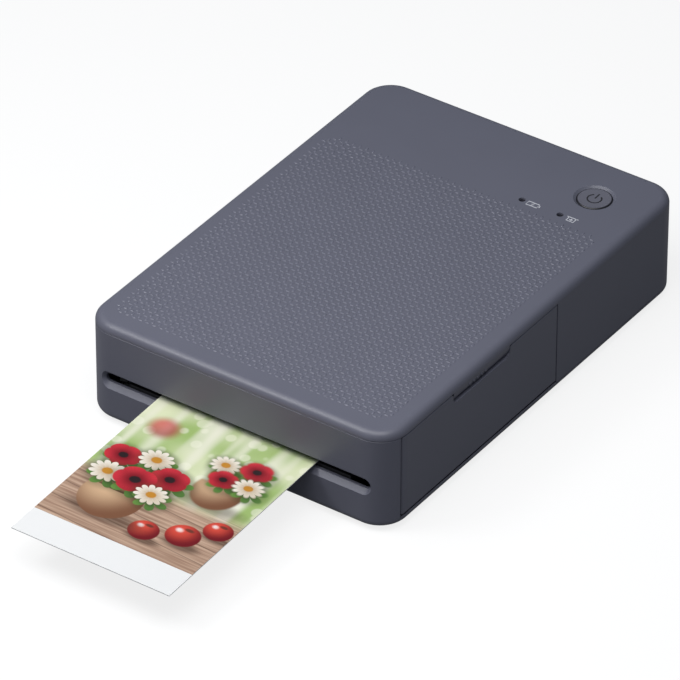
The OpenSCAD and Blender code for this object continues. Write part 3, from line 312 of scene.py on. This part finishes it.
def button_face(x, y):
    """Height of the button's dished face, with the mark just above it."""
    away = (x - BUTTON[0]) ** 2 + (y - BUTTON[1]) ** 2
    return DISH_Z + DISH_RADIUS - math.sqrt(DISH_RADIUS ** 2 - away) + MARK_LIFT


def joined(*strokes):
    """Several strokes as the points and faces of one mesh."""
    points, faces = [], []
    for stroke_points, stroke_faces in strokes:
        faces += [tuple(i + len(points) for i in face) for face in stroke_faces]
        points += stroke_points
    return points, faces


# An open ring, with its gap towards the rear, and a bar through the gap
ring = arc(BUTTON[0], BUTTON[1], SYMBOL_RADIUS, 125, 415, 36)
bar = [(BUTTON[0], BUTTON[1] + 0.2 + k * 0.5) for k in range(6)]
power_symbol = add_piece("power_symbol",
                         *joined(ribbon_mesh(ring, SYMBOL_STROKE, button_face),
                                 ribbon_mesh(bar, SYMBOL_STROKE, button_face)), mark_dark)
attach(power_symbol, "button")


# Pad-printed signs beside the lights: a battery with a bolt, and a sheet that leaves a slot
SIGN_Z = TOP_Z + MARK_LIFT
SIGN_STROKE = 0.29
SIGN_SCALE = 1.15


def sign_line(x, y, path, closed=False):
    """One stroke of a sign whose left end is at x, y; the path is in its unscaled size."""
    return ribbon_mesh([(x + u * SIGN_SCALE, y + v * SIGN_SCALE) for u, v in path],
                       SIGN_STROKE, SIGN_Z, closed)


def battery_sign(x, y):
    return joined(
        sign_line(x, y, [(0, -0.75), (3.1, -0.75), (3.1, 0.75), (0, 0.75)], closed=True),
        sign_line(x, y, [(3.5, -0.35), (3.5, 0.35)]),
        sign_line(x, y, [(1.8, 0.55), (1.25, -0.05), (1.85, 0.05), (1.3, -0.55)]))


def sheet_sign(x, y):
    return joined(
        sign_line(x, y, [(0, 0.8), (3.2, 0.8)]),
        sign_line(x, y, [(0.6, 0.8), (0.6, -0.8), (2.6, -0.8), (2.6, 0.8)]),
        sign_line(x, y, [(1.6, 0.45), (1.6, -0.35)]),
        sign_line(x, y, [(1.15, 0.0), (1.6, -0.42), (2.05, 0.0)]))


light_signs = add_piece("light_signs", *joined(battery_sign(18.9, 42.75 + BODY_Y),
                                               sheet_sign(31.8, 42.65 + BODY_Y)), mark_light)
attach(light_signs, "casing")

# ---------------------------------------------------------------------------------------------
# The print: dye-transfer photo paper with a glossy overcoat and a plain tear-off strip.
# Its picture is a made-up still life: clay pots of poppies and daisies, and apples, on a wooden
# table in front of an out-of-focus garden. It is drawn in millimetres from the strip's line.

TAB_LENGTH = 10.4
SHEET_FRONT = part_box("print_sheet")[0][1] / MM

print_paper, tree, shader, mm = start_material("photo paper printed")
axes = put(tree, "ShaderNodeSeparateXYZ", {0: mm})
px = axes.outputs["X"]
py = put(tree, "ShaderNodeMath", {0: axes.outputs["Y"], 1: -(SHEET_FRONT + TAB_LENGTH)},
         operation="ADD").outputs[0]


def maths(operation, a, b=0.0, c=0.0, clamp=False):
    """One Math node of the picture's material, as its output."""
    return put(tree, "ShaderNodeMath", {0: a, 1: b, 2: c}, operation=operation,
               use_clamp=clamp).outputs[0]


def blend(factor, under, over):
    """Colour under, covered by colour over as far as the factor says."""
    return put(tree, "ShaderNodeMix", {"Factor": factor, "A": under, "B": over},
               data_type="RGBA").outputs[2]


def soft_step(value, low, high):
    """0 below low and 1 above high, with a smooth rise between; it falls where low is higher."""
    return put(tree, "ShaderNodeMapRange", {"Value": value, "From Min": low, "From Max": high},
               interpolation_type="SMOOTHSTEP").outputs[0]


def drifts(vector, scale, detail, stretch=None, turn=0.0):
    """Soft noise over the picture, drawn out by a stretch for each axis."""
    if stretch:
        vector = put(tree, "ShaderNodeMapping", {"Vector": vector, "Rotation": (0, 0, turn),
                                                 "Scale": stretch}).outputs[0]
    return put(tree, "ShaderNodeTexNoise",
               {"Vector": vector, "Scale": scale, "Detail": detail}).outputs[0]


# The garden: pale and darker greens, slanting blades of light, and round glints
flat_place = put(tree, "ShaderNodeCombineXYZ", {"X": px, "Y": py}).outputs[0]
haze = drifts(flat_place, 0.045, 1)
streak = drifts(flat_place, 1, 1, (0.14, 0.012, 1), 0.5)
garden = blend(soft_step(haze, 0.35, 0.65), linear("#a3bf72"), linear("#e4eac2"))
garden = blend(soft_step(streak, 0.42, 0.7), garden, linear("#f3f2de"))
glint = put(tree, "ShaderNodeTexVoronoi",
            {"Vector": flat_place, "Scale": 0.17}).outputs["Distance"]
garden = blend(maths("MULTIPLY", soft_step(glint, 0.36, 0.26), 0.45), garden, linear("#fbfae6"))
# The table: long grain, and dark joints between planks 6.2 mm apart
wood_grain = drifts(flat_place, 1, 4, (0.04, 1.1, 1))
table = blend(soft_step(wood_grain, 0.3, 0.7), linear("#9c7a66"), linear("#cdae96"))
plank = maths("PINGPONG", maths("MULTIPLY_ADD", px, 0.06, py), 3.1)
table = blend(maths("MULTIPLY", soft_step(plank, 0.28, 0.06), 0.6), table, linear("#5d4536"))
picture = blend(soft_step(py, 20, 27), table, garden)


def distance(dx, dy):
    return maths("SQRT", maths("ADD", maths("MULTIPLY", dx, dx), maths("MULTIPLY", dy, dy)))


def round_thing(under, x, y, wide, tall, lit, dark, blur, opacity=1.0, flat_top=None):
    """Lay a round body over the picture, lit from the upper left; flat_top cuts it like a pot."""
    dx = maths("DIVIDE", maths("SUBTRACT", px, x), wide)
    dy = maths("DIVIDE", maths("SUBTRACT", py, y), tall)
    share = distance(dx, dy)
    inside = soft_step(share, 1 + blur, 1 - blur)
    if flat_top is not None:
        inside = maths("MULTIPLY", inside, soft_step(dy, flat_top + blur, flat_top - blur))
    from_light = distance(maths("ADD", dx, 0.4), maths("SUBTRACT", dy, 0.4))
    tone = blend(soft_step(from_light, 0.1, 1.4), linear(lit), linear(dark))
    return blend(maths("MULTIPLY", inside, opacity), under, tone)


def flower(under, x, y, radius, squash, petals, notch, turn, rim, throat, heart, heart_size,
           blur):
    """Lay one flower over the picture so far, its petals drawn in polar coordinates.

    notch is how deep the gaps between petals go, as a share of the radius, and rim, throat and
    heart are the colours of the petals' ends, of their feet and of the middle."""
    dx = maths("SUBTRACT", px, x)
    dy = maths("DIVIDE", maths("SUBTRACT", py, y), squash)
    away = distance(dx, dy)
    angle = maths("ARCTAN2", dy, dx)
    lobe = maths("ABSOLUTE", maths("COSINE", maths("MULTIPLY_ADD", angle, petals / 2, turn)))
    edge = maths("MULTIPLY_ADD", maths("POWER", lobe, 0.45), radius * notch, radius * (1 - notch))
    share = maths("DIVIDE", away, edge)
    inside = soft_step(share, 1 + blur, 1 - blur)
    # A soft shade lies round each flower, and its petals have veins and folds
    under = blend(maths("MULTIPLY", soft_step(away, radius * 1.4, radius * 0.8), 0.4), under,
                  linear("#2e3a1a"))
    vein = maths("MULTIPLY_ADD", maths("SINE", maths("MULTIPLY", angle, petals * 7.0)), 0.05, 0.5)
    fold = maths("MULTIPLY_ADD", lobe, 0.35, vein)
    colour = blend(soft_step(share, 0.15, 0.95), linear(throat), linear(rim))
    colour = blend(maths("MULTIPLY", maths("SUBTRACT", 0.9, fold, clamp=True), 0.8), colour,
                   linear(throat))
    far_side = maths("MULTIPLY", maths("SUBTRACT", dx, dy), 0.45 / radius, clamp=True)
    colour = blend(far_side, colour, linear(throat))
    colour = blend(soft_step(away, heart_size * 1.15, heart_size * 0.85), colour, linear(heart))
    return blend(inside, under, colour)


POPPY = ("#d2323f", "#7a0f1d", "#2a1a1c")
DAISY = ("#f6efe2", "#cdb89a", "#c88a2e")
LEAF = ("#6f9a46", "#34562a", "#34562a")
CLAY = ("#dcb791", "#7f553c")
APPLE = ("#e0503f", "#74101a")
SHADE = ("#4a3427", "#4a3427")


def bunch(under, specs, blur):
    """Leaves below, then poppies and daisies, given as (kind, x, y, radius, turn)."""
    for _, x, y, radius, turn in specs:
        under = flower(under, x + 1.2, y - 1.5, radius * 1.15, 0.8, 7, 0.8, turn + 0.5, *LEAF,
                       0.3, blur)
    for kind, x, y, radius, turn in specs:
        if kind == "poppy":
            under = flower(under, x, y, radius, 0.8, 5, 0.16, turn, *POPPY, radius * 0.26, blur)
        else:
            under = flower(under, x, y, radius, 0.78, 12, 0.42, turn, *DAISY, radius * 0.3, blur)
    return under


# The rear pot, out of focus
picture = round_thing(picture, 13, 26.5, 10, 2.6, *SHADE, 0.5, 0.6)
picture = round_thing(picture, 11.5, 32, 7.6, 7.4, *CLAY, 0.07, flat_top=0.4)
picture = bunch(picture, (("daisy", 6.5, 43, 4.6, 0.2), ("poppy", 15.5, 45, 5.0, 0.8),
                          ("poppy", 9.5, 37.5, 4.6, 1.7), ("daisy", 17.5, 38, 4.8, 1.1)), 0.12)
# A red bloom far back in the garden
picture = round_thing(picture, -17, 47, 4.5, 4.0, "#d9525a", "#a83640", 0.45, 0.8)
# Apples on the table, each with its shadow, a dimple and a small highlight
for x, y, size in ((21.5, 18.5, 4.4), (14.5, 12.0, 5.2), (4.2, 8.2, 4.6)):
    picture = round_thing(picture, x + 1.5, y - size * 0.72, size * 1.15, size * 0.35, *SHADE,
                          0.4, 0.7)
    picture = round_thing(picture, x, y, size, size * 0.86, *APPLE, 0.04)
    picture = round_thing(picture, x + 0.3, y + size * 0.52, size * 0.28, size * 0.12, *SHADE,
                          0.4, 0.8)
    picture = round_thing(picture, x - size * 0.42, y + size * 0.3, size * 0.2, size * 0.15,
                          "#ffffff", "#ffe9e0", 0.6, 0.8)
# The front pot, in focus, with its dark mouth
picture = round_thing(picture, -9.5, 7.8, 12.5, 3.0, *SHADE, 0.4, 0.65)
picture = round_thing(picture, -11.5, 15, 9.6, 9.2, *CLAY, 0.02, flat_top=0.45)
picture = round_thing(picture, -11.5, 19.2, 8.9, 1.5, "#c79c76", "#5e3c29", 0.1)
picture = bunch(picture, (("poppy", -19.5, 31.5, 5.6, 0.4), ("daisy", -10.5, 34.5, 5.4, 0.9),
                          ("poppy", -2.5, 29.5, 6.0, 1.3), ("daisy", -19.0, 23.5, 5.6, 0.1),
                          ("poppy", -10.5, 24.5, 6.6, 1.0), ("daisy", -3.0, 21.5, 5.2, 0.6)), 0.035)

# The strip in front of the line is plain, and so are the sheet's edges and its underside
face = blend(maths("LESS_THAN", py, 0.0), picture, linear("#f4f4f3"))
upward = put(tree, "ShaderNodeSeparateXYZ",
             {0: put(tree, "ShaderNodeTexCoord").outputs["Normal"]}).outputs["Z"]
sheet_colour = blend(maths("GREATER_THAN", upward, 0.5), linear("#efefec"), face)
tree.links.new(sheet_colour, shader.inputs["Base Color"])
shader.inputs["Roughness"].default_value = 0.3
shader.inputs["IOR"].default_value = 1.5
finish_node("print_sheet", print_paper)

# ---------------------------------------------------------------------------------------------
# Feet, rollers, screws, pins, plates and motors.
# Feet and rollers are black rubber, matt and slightly dusty. Screws, hinge pins and shafts are
# ground steel, with bright fine marks. Plates, motor cans and the socket are zinc plated.

rubber_black = moulded_plastic("rubber black", "#151516", 0.8, 0.4, 0.03, tint=0.25)
for node in ("rubber_feet", "pinch_roller", "pickup_roller", "platen_roller"):
    finish_node(node, rubber_black)


def metal(name, colour, roughness, streak, grain_mm):
    """Bare metal with fine marks drawn out along one axis by the tool that made it."""
    material, tree, shader, mm = start_material(name)
    drawn = put(tree, "ShaderNodeMapping", {"Vector": mm, "Scale": streak})
    marks = put(tree, "ShaderNodeTexNoise", {"Vector": drawn.outputs[0], "Scale": 1 / grain_mm,
                                             "Detail": 3})
    low = [c * 0.86 for c in linear(colour)[:3]] + [1]
    tone = put(tree, "ShaderNodeMix", {"Factor": marks.outputs["Fac"], "A": low,
                                       "B": linear(colour)}, data_type="RGBA")
    tree.links.new(tone.outputs[2], shader.inputs["Base Color"])
    wear = put(tree, "ShaderNodeMapRange", {"Value": marks.outputs["Fac"],
                                            "To Min": roughness - 0.06, "To Max": roughness + 0.1})
    tree.links.new(wear.outputs[0], shader.inputs["Roughness"])
    shader.inputs["Metallic"].default_value = 1.0
    return material


# Ground steel: marks run round the shaft, so they are narrow along X
steel_ground = metal("steel ground", "#c6c8cb", 0.26, (6, 1, 1), 0.6)
for node in ("door_hinge_pins", "paper_cover_pins", "casing_screws", "capstan_roller",
             "gear_studs", "head_pivot_shaft", "head_cam_shaft"):
    finish_node(node, steel_ground)

# Zinc-plated sheet: a soft spangle of 4 mm, with no direction
steel_zinc = metal("steel zinc plated", "#b9bcc0", 0.4, (1, 1, 1), 4.0)
for node in ("left_side_plate", "right_side_plate", "head_stay", "lift_plate", "lift_spring",
             "feed_motor", "lift_motor", "usb_socket"):
    finish_node(node, steel_zinc)

# ---------------------------------------------------------------------------------------------
# Inner mouldings: guides and cassette in black polystyrene, gears and bushes in natural acetal.
# Polystyrene comes out of its tool with a half-matt face. Acetal is milky white and waxy.

black_styrene = moulded_plastic("polystyrene black", "#202023", 0.5, 0.5, 0.02)
for node in ("lower_paper_guide", "upper_paper_guide", "exit_guide", "power_switch"):
    finish_node(node, black_styrene)
cassette_styrene = moulded_plastic("polystyrene charcoal", "#33343a", 0.42, 0.5, 0.02)
finish_node("cassette_frame", cassette_styrene)
acetal = moulded_plastic("acetal natural", "#e4e1d6", 0.36, 0.8, 0.01)
for node in ("capstan_gear", "pickup_gear", "pickup_idler_gear", "capstan_idler_gear",
             "take_up_drive_gear", "front_idler_gear", "middle_idler_gear", "rear_idler_gear",
             "reduction_gear", "motor_pinion", "lift_pinion", "cam_gear", "shaft_bushes",
             "supply_hub"):
    finish_node(node, acetal)

# ---------------------------------------------------------------------------------------------
# Thermal head: an extruded aluminium heat sink, whose die leaves fine lines along it, on the
# lever that the cam swings.

aluminium = metal("aluminium extruded", "#d3d4d6", 0.34, (0.3, 4, 1), 1.0)
finish_node("thermal_head", aluminium)

# ---------------------------------------------------------------------------------------------
# Ribbon: thin glossy polyester film, coated in turn with yellow, magenta, cyan and clear
# panels. On the real film each is as long as a print; here a set of four takes 22 mm, so that
# all four show.

PANEL_SET = 22.0

ribbon, tree, shader, mm = start_material("polyester ribbon dyed")
along = put(tree, "ShaderNodeSeparateXYZ", {0: mm}).outputs["Y"]
panel = put(tree, "ShaderNodeMath", {0: along, 1: PANEL_SET},
            operation="DIVIDE").outputs[0]
turn = put(tree, "ShaderNodeMath", {0: panel}, operation="FRACT").outputs[0]
bands = put(tree, "ShaderNodeValToRGB", {"Fac": turn})
bands.color_ramp.interpolation = "CONSTANT"
for place, colour in ((0.25, "#a8184a"), (0.5, "#1a5f8f"), (0.75, "#5f5348")):
    bands.color_ramp.elements.new(place).color = linear(colour)
bands.color_ramp.elements[0].color = linear("#b8962a")
bands.color_ramp.elements[-1].color = linear("#5f5348")
tree.links.new(bands.outputs["Color"], shader.inputs["Base Color"])
shader.inputs["Roughness"].default_value = 0.18
for node in ("ribbon_film", "supply_spool", "take_up_spool"):
    finish_node(node, ribbon)

# ---------------------------------------------------------------------------------------------
# Paper stack: coated sheets on the lift plate. Their faces are an even warm white, and their
# edges show as fine lines, drawn for every second sheet so that they stay apart.

SHEET_THICKNESS = 0.25

paper, tree, shader, mm = start_material("photo paper plain")
height = put(tree, "ShaderNodeSeparateXYZ", {0: mm}).outputs["Z"]
layer = put(tree, "ShaderNodeMath", {0: height, 1: SHEET_THICKNESS},
            operation="PINGPONG").outputs[0]
line = put(tree, "ShaderNodeMapRange", {"Value": layer, "From Max": 0.05}).outputs[0]
tone = put(tree, "ShaderNodeMix", {"Factor": line, "A": linear("#c9c8c2"), "B": linear("#f1f1ee")},
           data_type="RGBA")
tree.links.new(tone.outputs[2], shader.inputs["Base Color"])
shader.inputs["Roughness"].default_value = 0.5
finish_node("paper_stack", paper)

# ---------------------------------------------------------------------------------------------
# Electronics: glass-epoxy board under green solder mask, with its tracks as paler lines and
# black chips on top, a battery in blue shrink wrap, and the head's flat polyimide cable.

CHIP_DEPTH = 1.75

board, tree, shader, mm = start_material("glass epoxy board")
tracks = put(tree, "ShaderNodeTexBrick", {"Vector": mm, "Scale": 0.6, "Mortar Size": 0.03,
                                          "Color1": linear("#0f4a2a"), "Color2": linear("#0c4023"),
                                          "Mortar": linear("#2a7a45")})
tall = put(tree, "ShaderNodeSeparateXYZ", {0: mm}).outputs["Z"]
chip = put(tree, "ShaderNodeMath", {0: tall, 1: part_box("main_board")[1][2] / MM - CHIP_DEPTH},
           operation="GREATER_THAN").outputs[0]
tone = put(tree, "ShaderNodeMix", {"Factor": chip, "A": tracks.outputs["Color"],
                                   "B": linear("#18181a")}, data_type="RGBA")
tree.links.new(tone.outputs[2], shader.inputs["Base Color"])
shader.inputs["Roughness"].default_value = 0.35
finish_node("main_board", board)
finish_node("battery_pack", moulded_plastic("shrink wrap blue", "#2b4a8c", 0.25, 3.0, 0.05))
finish_node("head_cable", moulded_plastic("polyimide cable", "#c9a45a", 0.3, 2.0, 0.01))

# ---------------------------------------------------------------------------------------------
# Stage: white table and background, softboxes over the front left and front right, a small one
# low at the left that lights the rim, soft fill from the world, and the photograph's camera.

TABLE_HALF = 6
# Share of the table's white that gloss reflects: the photographed sides reflect little of it
WHITE_IN_GLOSS = 0.13

floor_material, tree, shader, mm = start_material("studio table white")
tree.nodes.remove(shader)
light_path = put(tree, "ShaderNodeLightPath")
seen = put(tree, "ShaderNodeMath", {0: light_path.outputs["Is Glossy Ray"], 1: WHITE_IN_GLOSS,
                                    2: light_path.outputs["Is Camera Ray"]},
           operation="MULTIPLY_ADD")
seen = put(tree, "ShaderNodeMath", {0: seen.outputs[0],
                                    1: light_path.outputs["Is Transmission Ray"]},
           operation="MAXIMUM")
matt = put(tree, "ShaderNodeBsdfDiffuse", {"Color": linear("#737376")})
matt_seen = put(tree, "ShaderNodeBsdfDiffuse", {"Color": linear("#818181")})
glow = put(tree, "ShaderNodeEmission", {"Color": (1, 1, 1, 1), "Strength": 0.82})
white = put(tree, "ShaderNodeAddShader", {0: matt_seen.outputs[0], 1: glow.outputs[0]})
either = put(tree, "ShaderNodeMixShader", {0: seen.outputs[0], 1: matt.outputs[0],
                                           2: white.outputs[0]})
# The table is clear from below, so that the printer's underside can be looked at
from_below = put(tree, "ShaderNodeMixShader",
                 {0: put(tree, "ShaderNodeNewGeometry").outputs["Backfacing"],
                  1: either.outputs[0], 2: put(tree, "ShaderNodeBsdfTransparent").outputs[0]})
tree.links.new(from_below.outputs[0], tree.nodes["Material Output"].inputs["Surface"])
floor = add_piece("studio_table",
                  [(x * TABLE_HALF, y * TABLE_HALF, 0)
                   for x, y in ((-1, -1), (1, -1), (1, 1), (-1, 1))],
                  [(0, 1, 2, 3)], floor_material, smooth=False)

world = bpy.data.worlds.new("studio")
bpy.context.scene.world = world
world.use_nodes = True
tree = world.node_tree
light_path = put(tree, "ShaderNodeLightPath")
background = tree.nodes["Background"]
backdrop = put(tree, "ShaderNodeBackground", {"Color": (1, 1, 1, 1), "Strength": 1.0})
background.inputs["Color"].default_value = linear("#e0edff")
background.inputs["Strength"].default_value = 0.18
either = put(tree, "ShaderNodeMixShader", {0: light_path.outputs["Is Camera Ray"],
                                           1: background.outputs[0], 2: backdrop.outputs[0]})
tree.links.new(either.outputs[0], tree.nodes["World Output"].inputs["Surface"])


LIT_SPOT = Vector((0, -0.01, 0.03))


def softbox(name, direction, distance, size, watts):
    """Square area lamp that faces the printer from a direction, at a distance in metres."""
    lamp = bpy.data.lights.new(name, "AREA")
    lamp.shape = "SQUARE"
    lamp.size = size
    lamp.energy = watts
    made = bpy.data.objects.new(name, lamp)
    toward = Vector(direction).normalized()
    made.location = LIT_SPOT + toward * distance
    made.rotation_euler = toward.to_track_quat("Z", "Y").to_euler()
    bpy.context.scene.collection.objects.link(made)


softbox("softbox_left", (-0.42, -0.2, 0.88), 0.42, 0.22, 0.4)
softbox("softbox_rim", (-0.46, -0.52, 0.73), 0.42, 0.14, 0.48)
softbox("softbox_right", (0.18, -0.3, 0.93), 0.42, 0.3, 1.0)

# The camera's lens, axes and place were fitted to the edges that the photograph shows
camera_data = bpy.data.cameras.new("photo_camera")
camera_data.sensor_width = 36.0
camera_data.lens = 375.868
camera_data.clip_start = 0.1
camera_data.clip_end = 50
camera = bpy.data.objects.new("photo_camera", camera_data)
right = Vector((0.82115626, 0.57070186, 0.00133557))
up = Vector((-0.33379564, 0.47838215, 0.81223826))
back = Vector((0.46290697, -0.66742034, 0.58332429))
spot = Vector((0.91148854, -1.33644608 + BODY_Y * MM, 1.16446475))
camera.matrix_world = Matrix(((right.x, up.x, back.x, spot.x), (right.y, up.y, back.y, spot.y),
                              (right.z, up.z, back.z, spot.z), (0, 0, 0, 1)))
bpy.context.scene.collection.objects.link(camera)
bpy.context.scene.camera = camera
bpy.context.scene.view_settings.view_transform = "Standard"
